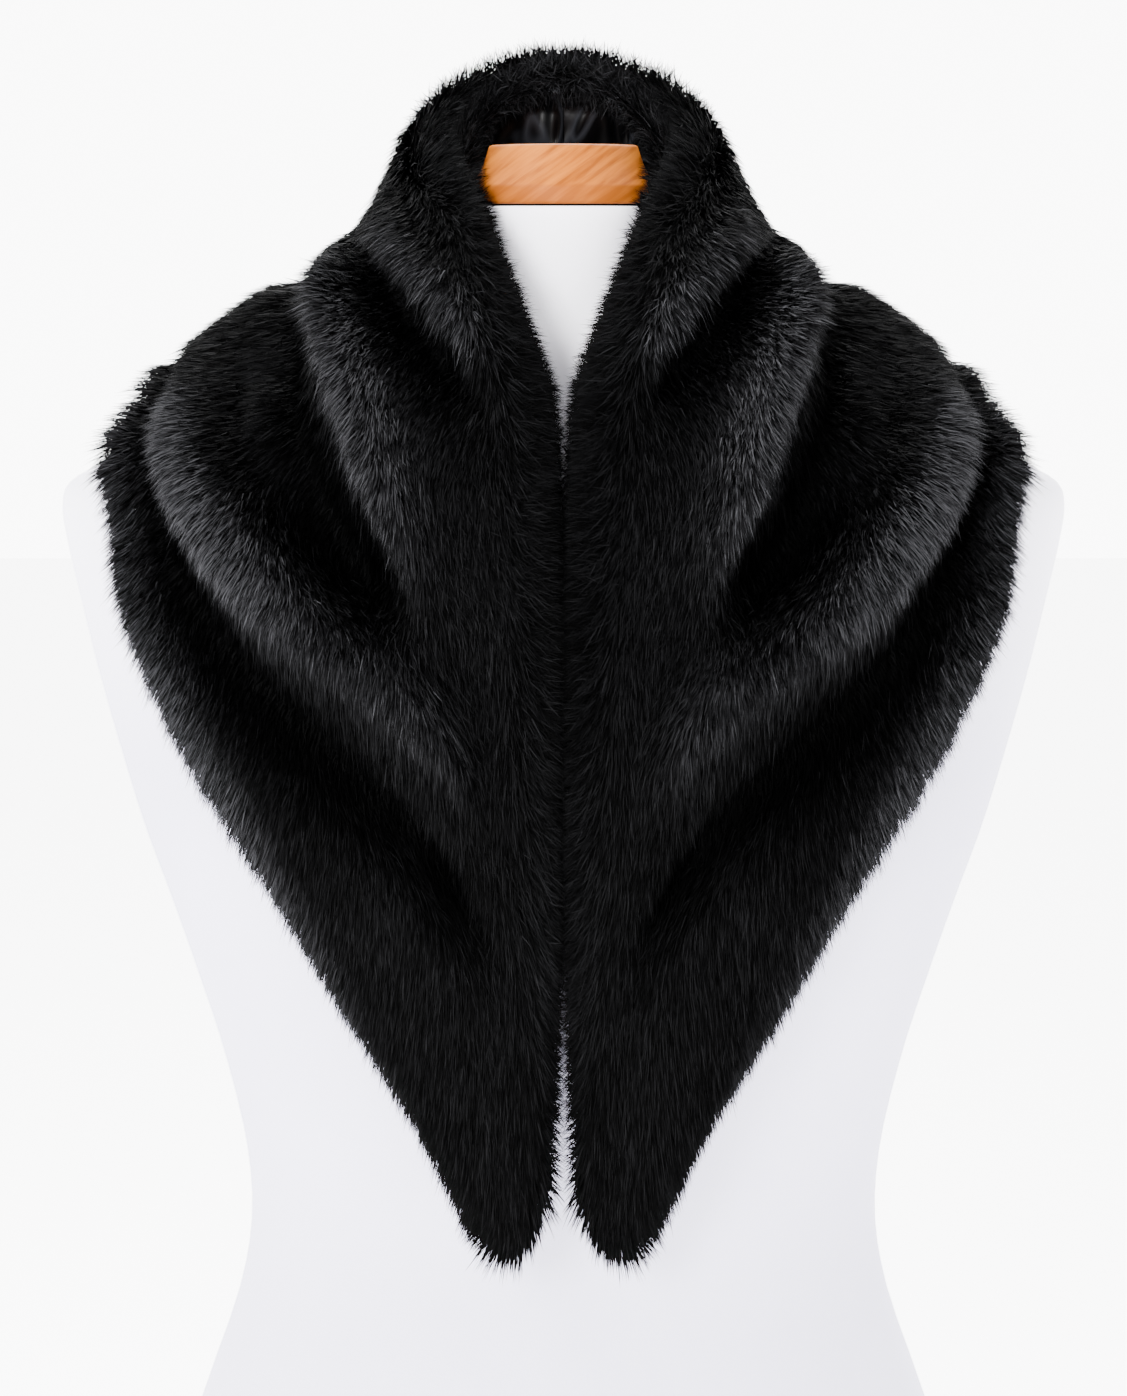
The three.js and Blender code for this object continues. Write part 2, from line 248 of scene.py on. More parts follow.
halfTable = np.array(sections, float)
otherHalf = halfTable[:0:-1] * (-1, 1, 1)
columnTable = np.concatenate([otherHalf, halfTable]).transpose(1, 0, 2)


def pointsOnBand(u, v):  # u (m,) along the band and v (m, n) across it
    columns = splineThrough(columnTable, np.broadcast_to(0.5 + u / 2, (5, len(u))))
    return splineThrough(columns.transpose(1, 0, 2), v)


def beyondForm(p):
    z = np.clip(p[..., 2], bodyRings[0, 0], bodyRings[-1, 0])
    wide, front, back, square = (np.interp(z, bodyRings[:, 0], bodyRings[:, k]) for k in range(1, 5))
    deep = np.where(p[..., 1] < 0, front, back)
    power = np.abs(p[..., 0] / wide) ** square + np.abs(p[..., 1] / deep) ** square
    return np.hypot(p[..., 0], p[..., 1]) * (1 - 1 / np.maximum(power, 1e-6) ** (1 / square))


def clearOfForm(p, gap):
    p = p.copy()
    probe = clearing["probe"]
    for _ in range(clearing["rounds"]):
        level = beyondForm(p)
        slope = np.stack([beyondForm(p + probe * np.eye(3)[k]) - level for k in range(3)], -1) / probe
        steep = np.maximum(np.linalg.norm(slope, axis=-1), 1e-6)
        distance = level / steep
        push = np.where((level < clearing["reach"] * gap) & (distance < gap), gap - distance, 0)
        p += slope / steep[..., None] * push[..., None]
    return p


def foldHeight(u, v):
    height = np.zeros(np.broadcast(u, v).shape)
    for start, end, a, b, c, rise, inner, outer in folds:
        t = np.clip((u - max(0, start)) / (end - max(0, start)), 0, 1)
        place = a * (1 - t) * (1 - 2 * t) + 4 * b * t * (1 - t) + c * t * (2 * t - 1)
        width = np.where(v < place, inner, outer)
        fade = rising(u, start, foldStart) * falling(u, end, foldEnd)
        height += rise * fade * np.exp(-(((v - place) / width) ** 2))
    return height


def bandPlaces(u, v):  # points, directions and distances at u (m,) and v (m, n), in millimetres
    stepU, stepV = 0.008, 0.01
    point = pointsOnBand(u, v)
    along = pointsOnBand(u + stepU, v) - pointsOnBand(u - stepU, v)
    across = pointsOnBand(u, np.minimum(1, v + stepV)) - pointsOnBand(u, np.maximum(0, v - stepV))
    normal = np.cross(along, across)
    neck = pointsOnBand(u, np.zeros_like(v))
    hem = pointsOnBand(u, np.ones_like(v))
    return {
        "u": np.broadcast_to(u[:, None], v.shape), "v": v,
        "point": clearOfForm(point, wrap["formClearance"]),
        "normal": unitRows(normal), "along": unitRows(along), "across": unitRows(across),
        "fromNeck": np.linalg.norm(point - neck, axis=-1), "fromHem": np.linalg.norm(point - hem, axis=-1),
        "fromTip": np.broadcast_to(((1 - u) * wrap["bandLength"])[:, None], v.shape),
    }


def furDepths(place):
    w = wrap
    rounded = (
        quarterRound(place["fromNeck"] / w["edgeRound"])
        * quarterRound(place["fromHem"] / w["edgeRound"])
        * quarterRound(place["fromTip"] / w["edgeRound"])
    )
    rise = foldHeight(place["u"], place["v"])
    turned = np.sin(np.pi * np.clip(place["fromNeck"] / w["turnedWidth"], 0, 1))
    turned = turned * smooth(place["fromTip"] / w["turnedFade"])
    outer = w["rimDepth"] + (w["pileDepth"] - w["rimDepth"] + rise) * rounded
    inner = w["foldHollow"] * np.maximum(0, rise) * rounded - w["turnedFur"] * turned
    return outer, inner, rise


def atDepth(place, depth, gap):
    p = clearOfForm(place["point"] + place["normal"] * depth[..., None], gap)
    p[..., 0] = np.maximum(p[..., 0], wrap["seamGap"] / 2 * smooth(place["u"] / wrap["seamFade"]))
    return p


# Meshes from grids of points

def newPiece(name, points, faces):
    mesh = bpy.data.meshes.new(name)
    mesh.vertices.add(len(points))
    mesh.vertices.foreach_set("co", np.ascontiguousarray(points, np.float32).ravel())
    sizes = np.array([len(f) for f in faces])
    flat = faces.ravel() if isinstance(faces, np.ndarray) else np.concatenate([np.asarray(f) for f in faces])
    mesh.loops.add(len(flat))
    mesh.loops.foreach_set("vertex_index", flat.astype(np.int32))
    mesh.polygons.add(len(sizes))
    starts = np.concatenate([[0], np.cumsum(sizes)[:-1]])
    mesh.polygons.foreach_set("loop_start", starts.astype(np.int32))
    mesh.polygons.foreach_set("use_smooth", np.full(len(sizes), True))
    mesh.update(calc_edges=True)
    piece = bpy.data.objects.new(name, mesh)
    bpy.context.scene.collection.objects.link(piece)
    return piece


def gridQuads(rows, cells, start, turned):
    i, j = np.meshgrid(np.arange(rows - 1), np.arange(cells - 1), indexing="ij")
    a = (start + i * cells + j).ravel()
    quad = np.stack([a, a + cells, a + cells + 1, a + 1], 1)
    return quad[:, ::-1] if turned else quad


def wallPiece(name, outer, inner, mirrored):
    rows, cells = outer.shape[:2]
    points = np.concatenate([outer.reshape(-1, 3), inner.reshape(-1, 3)])
    below = rows * cells
    i, j = np.arange(rows - 1), np.arange(cells - 1)
    neck = i * cells
    hem = neck + cells - 1
    last = (rows - 1) * cells + j
    faces = np.concatenate([
        gridQuads(rows, cells, 0, False),
        gridQuads(rows, cells, below, True),
        np.stack([neck, neck + below, neck + below + cells, neck + cells], 1),
        np.stack([hem, hem + cells, hem + below + cells, hem + below], 1),
        np.stack([j, j + 1, j + 1 + below, j + below], 1),
        np.stack([last, last + below, last + below + 1, last + 1], 1),
    ])
    if mirrored:
        points = points * (-1, 1, 1)
        faces = faces[:, ::-1]
    return newPiece(name, toFrame(points), faces)


# Sampled surface of the left half, which every soft piece is made from

def acrossSteps(u, turnedCells, hemCells):  # v (m, n), dense over the turned fur and towards the hem
    samples = 33
    line = pointsOnBand(u, np.broadcast_to(np.linspace(0, 1, samples), (len(u), samples)))
    width = np.linalg.norm(np.diff(line, axis=1), axis=-1).sum(1)
    turned = (wrap["turnedWidth"] / width)[:, None]
    t = np.linspace(0, 1, hemCells + 1)[None]
    rest = turned + (1 - turned) * (0.5 * t + 0.5 * np.sin(np.pi * t / 2))
    return np.concatenate([turned * np.linspace(0, 1, turnedCells, endpoint=False)[None], rest], 1)


def bandGrid(rows, turnedCells, hemCells, end=1.0, pull=1.15):
    u = end * np.linspace(0, 1, rows) ** pull
    place = bandPlaces(u, acrossSteps(u, turnedCells, hemCells))
    place["outer"], place["inner"], place["rise"] = furDepths(place)
    return place


# Pelt and undercoat: the dense short fur that the long pile grows out of

pelt = {
    "rows": 130, "turnedCells": 7, "hemCells": 38, "underShare": 0.72, "turnedShare": 0.4,
    "inset": 7.5, "insetWidth": 25, "tipInset": 15.0, "tipWidth": 35,
    "opening": 2.5, "parting": 3.0, "partingWidth": 20, "partingAlong": (0.8, 0.08),
}
besideCapPlace = {"from": (0.03, 0.1), "to": (0.56, 0.1), "width": 14}


def besideCap(place):  # 1 on the turned edge where the collar opens round the cap, 0 away from it
    b = besideCapPlace
    alongEdge = rising(place["u"], *b["from"]) * falling(place["u"], *b["to"])
    return alongEdge * (1 - smooth(place["fromNeck"] / b["width"]))


def peltHalf(name, mirrored):
    p = pelt
    grid = bandGrid(p["rows"], p["turnedCells"], p["hemCells"])
    outer = atDepth(grid, grid["outer"] * p["underShare"], wrap["formClearance"])
    turned = np.minimum(grid["inner"], 0)
    inner = atDepth(grid, grid["inner"] - turned * (1 - p["turnedShare"]), wrap["formClearance"])
    # the pelt stays back from the hem and the point, which the long pile alone reaches
    fromHem = p["inset"] * (1 - smooth(grid["fromHem"] / p["insetWidth"]))
    fromTip = p["tipInset"] * (1 - smooth(grid["fromTip"] / p["tipWidth"]))
    opening = p["opening"] * besideCap(grid)
    parting = p["parting"] * rising(grid["u"], *p["partingAlong"])
    parting = parting * (1 - smooth(grid["fromNeck"] / p["partingWidth"]))
    drawnIn = grid["across"] * (fromHem - opening - parting)[..., None] + grid["along"] * fromTip[..., None]
    return wallPiece(name, outer - drawnIn, inner - drawnIn, mirrored)


peltLeft, peltRight = peltHalf("peltLeft", False), peltHalf("peltRight", True)
print("pelt made")


# Long pile: tapered strands in small locks, joined into one mesh for each stretch of each half.
# A pair of numbers is where a change starts or ends, and how wide it is. Shares run from 0 to 1 along
# the band (u) and across it (v), and the other measures are in millimetres.

pile = {
    "rows": 300, "turnedCells": 14, "hemCells": 90, "perLock": 3, "innerShare": 0.08, "insideDepth": 1.5,
    "hemInset": 6.5, "tipInset": 21.0, "neckInset": 4.0, "neckInsetAlong": [(0.7, 0.15), (0.8, 0.08)],
    "lockRadius": 1.3, "offCentre": 0.6, "opening": 4.5,
    "sunk": 8.0, "sunkMost": 0.9, "fullDepth": 8, "leastEdge": 0.25,
    "overshoot": 1.6, "liftByLock": 0.7, "liftByStrand": 0.8, "leastLift": 2.0,
    "lay": 14.5, "layByLock": 0.14, "layByStrand": 0.12, "insideLay": 0.6, "tipGather": 0.35,
    "rise": 1.8, "sweep": 1.35, "straightFrom": 0.3, "straightDepth": (5, 8), "mingle": 0.8,
    "width": 0.72, "midWidth": 0.85, "leastWidth": 0.75, "widthSpread": 0.5, "roll": 0.6,
}
meetingFur = {"lift": 3.0, "from": (0.5, 0.06), "to": (0.87, 0.03), "width": 9}
tufts = {"spacing": 5.2, "pull": 0.85, "hemLength": 900, "fromRim": (5, 12), "longer": 0.25}
combed = {
    # share across the band at the neck edge, its change towards the hem, and the width of that change
    "back": (-0.9, 1.9, 0.22), "shoulder": (-0.6, 1.6, 0.36), "front": (-1.3, 1.3, 0.4),
    "frontHem": 0.75, "frontHemAcross": (0.4, 0.6), "toShoulder": (0.04, 0.18), "toFront": (0.42, 0.25),
    # share along the band at the back, and what the shoulder and the front add
    "along": (0.15, 0.2, 0.5),
    "waviness": 0.2, "stray": 0.2, "strayAcross": (0.7, 0.6), "strayAlong": (0.5, 0.5),
    "hemTurn": 0.4, "hemAlong": 0.6, "fromHem": (5, 22), "hemAcross": (0.4, 0.4),
    "fan": 1.5, "fanShare": 0.8, "tipAlong": 0.3, "fromTip": (5, 32),
    "insideStart": -0.3, "insideTurn": 0.9, "insideStray": 0.4,
    "insideSway": 0.35, "insideAlong": 0.3, "insideFrom": (0.25, 0.2),
}
# Painted light on the fur: fold crests, the neck roll, the shoulder and tucked folds, the hem and the collar
# top are painted lighter as painted highlights, and the hollows are painted darker as painted shade. Towards
# the front it is darker. The patch waves and the lock and strand spreads are the fur's own random tone.
tonesAndPaintedLight = {
    "fold": 0.38, "foldRise": (1, 15), "foldBack": 0.25, "backTo": (0.5, 0.15),
    "foldFront": 0.5, "frontFrom": (0.46, 0.14), "slope": 0.2, "slopeRise": (-13, 26),
    "hem": 0.42, "hemAcross": (0.86, 0.08), "hemAlong": (-0.1, 0.35),
    "hemFade": 0.4, "hemFadeAlong": (0.6, 0.2),
    "neckRoll": 0.24, "neckRise": (2, 5), "neckAcross": (0.33, 0.08),
    "shoulder": 0.24, "shoulderRise": (3, 9), "shoulderAcross": (0.64, 0.08), "shoulderTo": (0.5, 0.12),
    "tuck": 0.2, "tuckPlace": 0.66, "tuckWidth": 0.035, "tuckFrom": (0.26, 0.06), "tuckTo": (0.5, 0.08),
    "collarTop": 0.12, "topTo": (0.4, 0.15), "topAcross": (0.2, 0.1),
    "patch": 0.05, "front": 0.05, "darkerAlong": [(0.5, 0.12), (0.75, 0.15)],
    "troughSpread": 0.24, "foldSpread": 0.26, "spreadRise": (-12, 11),
    "lockSpread": 0.12, "strandSpread": 0.32, "ownLeast": -2, "ownMost": 1.7,
    "inside": 1.1, "least": 0.03, "most": 0.97,
}
lighting = {"skin": 0.6, "strand": 0.65, "tip": 0.15}
# For each corner of a strand, its side and its place from root to tip, as its texture map has them
bentMap = [(-1, 0.02), (1, 0.02), (-1, 0.5), (1, 0.5), (0, 0.98)]
straightMap = [(-1, 0.2), (1, 0.2), (0, 0.98)]
mapSide = 0.01
stretches = [
    # name, start and end along the band, bent strands, straight ones
    ("Back", -0.01, 0.3, 24000, 60000),
    ("Shoulder", 0.3, 0.56, 28000, 72000),
    ("Front", 0.56, 1.01, 28000, 72000),
]


def combing(u, v):  # shares of the combing that run along the band and across it
    c = combed
    turns = (c["back"], c["shoulder"], c["front"])
    back, shoulder, front = (atNeck + change * smooth(v / width) for atNeck, change, width in turns)
    front = front + c["frontHem"] * rising(v, *c["frontHemAcross"])
    toShoulder, toFront = rising(u, *c["toShoulder"]), rising(u, *c["toFront"])
    across = back + (shoulder - back) * toShoulder
    across = across + (front - across) * toFront
    start, byShoulder, byFront = c["along"]
    return start + byShoulder * toShoulder + byFront * toFront, across


def sampler(place, rng, count, uLow, uHigh, weightOf):  # places spread evenly over the surface
    point = place["point"]
    corner = point[:-1, :-1]
    area = np.linalg.norm(np.cross(point[1:, :-1] - corner, point[:-1, 1:] - corner), axis=-1)
    middle = {k: place[k][:-1, :-1] for k in ("u", "v", "fromHem", "fromTip", "fromNeck")}
    weight = area * weightOf(middle) * (middle["u"] >= uLow) * (middle["u"] < uHigh)
    chance = np.cumsum(weight.ravel())
    cell = np.searchsorted(chance, (np.arange(count) + rng.random(count)) / count * chance[-1])
    i, j = np.unravel_index(np.minimum(cell, chance.size - 1), weight.shape)
    a, b = rng.random(count), rng.random(count)

    def read(key):
        grid = place[key]
        extra = (slice(None), None) if grid.ndim == 3 else slice(None)
        wa, wb = a[extra], b[extra]
        low = grid[i, j] * (1 - wb) + grid[i, j + 1] * wb
        high = grid[i + 1, j] * (1 - wb) + grid[i + 1, j + 1] * wb
        return low * (1 - wa) + high * wa

    return {k: read(k) for k in place}


def skinOf(grid, side):  # the wrap's outer skin (1) or its inner one (-1), with its true normals
    depth = grid["outer"] if side > 0 else grid["inner"] - pile["insideDepth"]
    skin = atDepth(grid, depth, wrap["formClearance"])
    core = atDepth(grid, (grid["outer"] + grid["inner"]) / 2, wrap["formClearance"])
    facing = unitRows(np.cross(np.gradient(skin, axis=0), np.gradient(skin, axis=1))) * side
    return {**grid, "skin": skin, "core": core, "facing": facing}


def rootedLocks(rng, locks, uLow, uHigh):  # where each lock grows, the last ones on the turned inner side
    p = pile
    inLocks = int(locks * p["innerShare"])
    grid = bandGrid(p["rows"], p["turnedCells"], p["hemCells"])

    def onOutside(m):
        neckInset = p["neckInset"] * sum(rising(m["u"], *k) for k in p["neckInsetAlong"])
        return (m["fromHem"] > p["hemInset"]) * (m["fromTip"] > p["tipInset"]) * (m["fromNeck"] > neckInset)

    def onInside(m):
        return (m["fromNeck"] < wrap["turnedWidth"]) * (m["fromTip"] > p["tipInset"])

    outside = sampler(skinOf(grid, 1), rng, locks - inLocks, uLow, uHigh, onOutside)
    inside = sampler(skinOf(grid, -1), rng, inLocks, uLow, uHigh, onInside)
    strand = {k: np.repeat(np.concatenate([outside[k], inside[k]]), p["perLock"], axis=0) for k in outside}
    strand["isIn"] = np.repeat(np.arange(locks) >= locks - inLocks, p["perLock"])
    for key in ("facing", "along", "across"):
        strand[key] = unitRows(strand[key])
    return strand


def combDirections(strand, lockRandom, own):
    c, u, v = combed, strand["u"], strand["v"]

    def stray(shares, k):  # each lock strays from the combing, and each strand from its lock
        return c["stray"] * (shares[0] * lockRandom[:, k] + shares[1] * own[:, k])

    alongShare, acrossShare = combing(u, v)
    swirl = 0.5 * np.sin(31 * u + 9 * v + 1.3) + 0.5 * np.sin(-17 * u + 21 * v)  # slow waves
    acrossShare = acrossShare + c["waviness"] * swirl + stray(c["strayAcross"], 0)
    alongShare = alongShare + stray(c["strayAlong"], 1)
    # strands at the hem turn outwards, and those at the point fan out round it
    hemward = (1 - rising(strand["fromHem"], *c["fromHem"])) * rising(v, *c["hemAcross"])
    pointward = 1 - rising(strand["fromTip"], *c["fromTip"])
    acrossShare = acrossShare + c["hemTurn"] * hemward * (1 - pointward)
    acrossShare = acrossShare + (c["fan"] * (v - 0.5) - acrossShare) * c["fanShare"] * pointward
    alongShare = alongShare * (1 - c["hemAlong"] * hemward * (1 - pointward)) + c["tipAlong"] * pointward
    # turned fur on the inner side stands out and falls back over the lining
    toLining = strand["fromNeck"] / wrap["turnedWidth"]
    insideAcross = c["insideStart"] + c["insideTurn"] * toLining + c["insideStray"] * own[:, 0]
    insideAlong = c["insideSway"] * own[:, 1] + c["insideAlong"] * rising(u, *c["insideFrom"])
    acrossShare = np.where(strand["isIn"], insideAcross, acrossShare)
    alongShare = np.where(strand["isIn"], insideAlong, alongShare)
    comb = strand["along"] * alongShare[:, None] + strand["across"] * acrossShare[:, None]
    return unitRows(comb - strand["facing"] * (comb * strand["facing"]).sum(1, keepdims=True))


# painted shade and painted highlight for each strand, dark in the hollows and light on the ridges, with a
# random tone for each lock and strand
def strandToneAndPaintedLight(strand, lockRandom, own):  # 0 in the dark hollows, 1 on the lightest ridges
    t, u, v, rise = tonesAndPaintedLight, strand["u"], strand["v"], strand["rise"]
    byPlace = 1 + t["foldBack"] * falling(u, *t["backTo"]) - t["foldFront"] * rising(u, *t["frontFrom"])
    paintedHighlight = t["fold"] * rising(rise, *t["foldRise"]) * byPlace + t["slope"] * rising(rise, *t["slopeRise"])
    hem = rising(v, *t["hemAcross"]) * rising(u, *t["hemAlong"])
    hem = hem * (1 - t["hemFade"] * rising(u, *t["hemFadeAlong"]))
    neckRoll = rising(rise, *t["neckRise"]) * falling(v, *t["neckAcross"])
    shoulder = rising(rise, *t["shoulderRise"]) * rising(v, *t["shoulderAcross"])
    shoulder = shoulder * falling(u, *t["shoulderTo"])
    tuck = np.exp(-(((v - t["tuckPlace"]) / t["tuckWidth"]) ** 2))
    tuck = tuck * rising(u, *t["tuckFrom"]) * falling(u, *t["tuckTo"])
    collarTop = falling(u, *t["topTo"]) * falling(v, *t["topAcross"])
    paintedHighlight = paintedHighlight + t["hem"] * hem + t["neckRoll"] * neckRoll + t["shoulder"] * shoulder
    paintedHighlight = paintedHighlight + t["tuck"] * tuck + t["collarTop"] * collarTop
    patch = t["patch"] * np.sin(19 * u + 6 * v) * np.sin(11 * v - 14 * u + 0.6)  # slow waves
    shade = paintedHighlight + patch - t["front"] * sum(rising(u, *k) for k in t["darkerAlong"])
    spread = t["troughSpread"] + t["foldSpread"] * rising(rise, *t["spreadRise"]) + paintedHighlight
    byStrand = np.clip(own[:, 2], t["ownLeast"], t["ownMost"])
    chance = t["lockSpread"] * lockRandom[:, 1] + t["strandSpread"] * byStrand
    shade = np.clip(shade + spread * chance, t["least"], t["most"])
    return np.where(strand["isIn"], shade * t["inside"], shade)


def strandLines(strand, comb, offset, lockRandom, own):  # each strand's root, middle, tip and raised root
    p, m, t, u = pile, meetingFur, tufts, strand["u"]
    normal, along, across = strand["facing"], strand["along"], strand["across"]
    depth = np.linalg.norm(strand["skin"] - strand["core"], axis=1)
    edge = np.clip(depth / p["fullDepth"], p["leastEdge"], 1)  # less at the thin rims
    sunk = np.minimum(depth * p["sunkMost"], p["sunk"] * (0.5 + 0.5 * edge))
    root = strand["skin"] - normal * sunk[:, None]
    root = root + along * offset[:, :1] + across * offset[:, 1:] * edge[:, None]
    root = root + across * (p["opening"] * besideCap(strand))[:, None]
    lift = sunk + p["overshoot"] + p["liftByLock"] * lockRandom[:, 2] + p["liftByStrand"] * own[:, 2]
    # the halves' fur meets down the front
    meeting = rising(u, *m["from"]) * falling(u, *m["to"]) * (1 - smooth(strand["fromNeck"] / m["width"]))
    lift = np.maximum(lift, p["leastLift"]) + m["lift"] * meeting
    lay = p["lay"] * (0.5 + 0.5 * edge)
    lay = lay * (1 + p["layByLock"] * lockRandom[:, 0] + p["layByStrand"] * own[:, 1])
    lay = np.where(strand["isIn"], lay * p["insideLay"], lay)
    # along the hem the tips draw together into small pointed tufts
    rim = 1 - rising(np.minimum(strand["fromHem"], strand["fromTip"]), *t["fromRim"])
    hemPlace = (u * t["hemLength"] + offset[:, 0]) / t["spacing"]
    hemPlace = hemPlace + 0.3 * np.sin(0.9 * hemPlace) + 0.25 * np.sin(2.3 * hemPlace + 1)
    toTuft = np.round(hemPlace) - hemPlace
    lay = lay * (1 + t["longer"] * rim * (1 - 2 * np.abs(toTuft)))
    gather = -(along * offset[:, :1] + across * offset[:, 1:]) * p["tipGather"]
    gather = gather + along * (toTuft * t["spacing"] * t["pull"] * rim)[:, None]

    def at(s):
        raised = normal * (lift * (1 - (1 - s) ** p["rise"]))[:, None]
        return root + raised + comb * (lay * s ** p["sweep"])[:, None] + gather * np.reshape(s, (-1, 1))

    return at(0.0), at(0.5), at(1.0), at(p["straightFrom"] * rising(depth, *p["straightDepth"]))


def strandSides(rng, normal, direction):  # half of each strand's width, and the normals that light it
    p, k = pile, lighting
    n = len(normal)
    wide = unitRows(np.cross(direction, normal))
    roll = rng.normal(size=n) * p["roll"]
    wide = wide * np.cos(roll)[:, None] + np.cross(direction, wide) * np.sin(roll)[:, None]
    half = wide * (p["width"] * 0.5 * (p["leastWidth"] + p["widthSpread"] * rng.random(n)))[:, None]
    half[(np.cross(half, direction) * normal).sum(1) < 0] *= -1
    lit = unitRows(np.cross(half, direction))
    return half, unitRows(normal * k["skin"] + lit * k["strand"] + direction * k["tip"])


def growPile(name, seed, uLow, uHigh, bent, straight, mirrored):
    p = pile
    rng = np.random.default_rng(seed)
    locks = (bent + straight) // p["perLock"]
    strand = rootedLocks(rng, locks, uLow, uHigh)
    n = len(strand["u"])
    lockRandom = np.repeat(rng.normal(size=(locks, 3)), p["perLock"], axis=0)
    own = rng.normal(size=(n, 3))
    offset = rng.normal(size=(n, 2)) * p["lockRadius"] * p["offCentre"]
    comb = combDirections(strand, lockRandom, own)
    root, middle, tip, start = strandLines(strand, comb, offset, lockRandom, own)
    half, soft = strandSides(rng, strand["facing"], unitRows(tip - root))
    shade = strandToneAndPaintedLight(strand, lockRandom, own)
    isBent = np.zeros(n, bool)
    isBent[rng.permutation(n)[:bent]] = True

    midHalf = half * p["midWidth"]
    bentCorners = (root - half, root + half, middle - midHalf, middle + midHalf, tip)
    straightCorners = (start - half, start + half, tip)
    points, faces, light, uv, first = [], [], [], [], 0
    for chosen, corners, triangles, cornerMap in (
            (isBent, bentCorners, ((0, 1, 3), (0, 3, 2), (2, 3, 4)), bentMap),
            (~isBent, straightCorners, ((0, 1, 2),), straightMap)):
        count = chosen.sum()
        points.append(np.stack([k[chosen] for k in corners], 1).reshape(-1, 3))
        faces += [first + np.arange(count)[:, None] * len(corners) + k for k in triangles]
        light.append(np.repeat(soft[chosen], len(corners), axis=0))
        # the map's first side is the strand's tone with its painted shade and painted highlight, and its
        # second runs from root to tip
        side, up = np.tile(cornerMap, (count, 1)).T
        uv.append(np.stack([np.repeat(shade[chosen], len(corners)) + side * mapSide, up], 1))
        first += count * len(corners)
    points, faces, light, uv = (np.concatenate(k) for k in (points, faces, light, uv))
    points[:, 0] = np.maximum(points[:, 0], -p["mingle"])  # the two halves' fur mingles a little
    if mirrored:
        points, light, faces = points * (-1, 1, 1), light * (-1, 1, 1), faces[:, ::-1]
    piece = newPiece(name, toFrame(points), faces)
    layer = piece.data.uv_layers.new(name="OFBake")
    layer.data.foreach_set("uv", uv[faces.ravel()].astype(np.float32).ravel())
    piece.data.normals_split_custom_set_from_vertices(light.astype(np.float32))
    return piece


grown = {"Left": [], "Right": []}
for number, (label, uLow, uHigh, bent, straight) in enumerate(stretches):
    for side, mirrored in (("Left", False), ("Right", True)):
        seed = 11 + 2 * number + mirrored
        grown[side].append(growPile("pile" + label + side, seed, uLow, uHigh, bent, straight, mirrored))
allPiles = grown["Left"] + grown["Right"]
print("pile grown:", sum(len(o.data.polygons) for o in allPiles), "faces")


# Lining: satin, gathered round the back of the neck

liningCut = {
    "rows": 120, "turnedCells": 3, "hemCells": 60, "firstCell": 3, "lastCell": 27, "end": 0.93, "pull": 1.5,
    "gap": 1.45, "depth": 1.0, "tuck": 3.5, "tuckCells": 4,
    "gathers": 6, "gatherDepth": 3.6, "gatherEnd": 0.24, "gatherFade": 0.06, "gatherSharpness": 1.3,
    "drift": 0.35, "unevenness": 1.6, "depthSpread": 0.35,
}


def liningHalf(name, seed, mirrored):
    c = liningCut
    rng = np.random.default_rng(seed)
    grid = bandGrid(c["rows"], c["turnedCells"], c["hemCells"], c["end"], c["pull"])
    cut = slice(c["firstCell"], c["lastCell"])
    grid = {k: g[:, cut] for k, g in grid.items()}
    u = grid["u"]
    drift = c["drift"] * np.sin(5 * grid["v"] * np.pi + 40 * u + rng.random() * 6)
    phase = 2 * np.pi * c["gathers"] * u / c["gatherEnd"] + c["unevenness"] * np.sin(31 * u + seed) + drift
    pucker = (0.5 - 0.5 * np.cos(phase)) ** c["gatherSharpness"]
    pucker = pucker * (1 - c["depthSpread"] + c["depthSpread"] * np.sin(57 * u + seed))
    drop = c["gatherDepth"] * pucker * falling(u, c["gatherEnd"], c["gatherFade"])
    inside = grid["inner"] - c["gap"] + c["tuck"] * (1 - smooth(np.arange(u.shape[1]) / c["tuckCells"]))
    gap = wrap["formClearance"] - c["gap"]
    outer = atDepth(grid, inside, gap)
    inner = atDepth(grid, inside - c["depth"] - drop, gap - c["depth"])
    return wallPiece(name, outer, inner, mirrored)


liningLeft, liningRight = liningHalf("satinLiningLeft", 3, False), liningHalf("satinLiningRight", 8, True)
print("lining made")


# Dress form

formShape = {"segments": 96, "levels": 80}


def ringPoints(rings, segments):
    angle = np.linspace(0, 2 * np.pi, segments, endpoint=False)
    points = []
    for z, wide, front, back, square in rings:
        x, y = (np.sign(c) * np.abs(c) ** (2 / square) for c in (np.cos(angle), np.sin(angle)))
        points.append(np.stack([x * wide, y * np.where(y < 0, front, back), np.full(segments, z)], 1))
    return np.array(points)


def makeForm():
    n, levels = formShape["segments"], formShape["levels"]
    table = np.array(formRings, float)
    body = splineThrough(table[1:], np.linspace(0, 1, levels))
    points = ringPoints(np.concatenate([table[:1], body]), n)
    rows = len(points)
    index = np.arange(rows * n).reshape(rows, n)
    ahead = np.roll(index, -1, axis=1)
    quads = np.stack([index[:-1], ahead[:-1], ahead[1:], index[1:]], -1).reshape(-1, 4)
    faces = list(quads) + [index[0][::-1], index[-1]]
    return newPiece("dressFormBody", toFrame(points.reshape(-1, 3)), faces)


form = makeForm()
print("dress form made")


# Neck cap, turned from laminated wood

capShape = {
    "segments": 96, "steps": [(0.006, 0.0003), (0.01, 0.0002)],
    "bevel": 0.0008, "bevelSegments": 2, "bevelAngle": 25, "smoothAngle": 30,
}


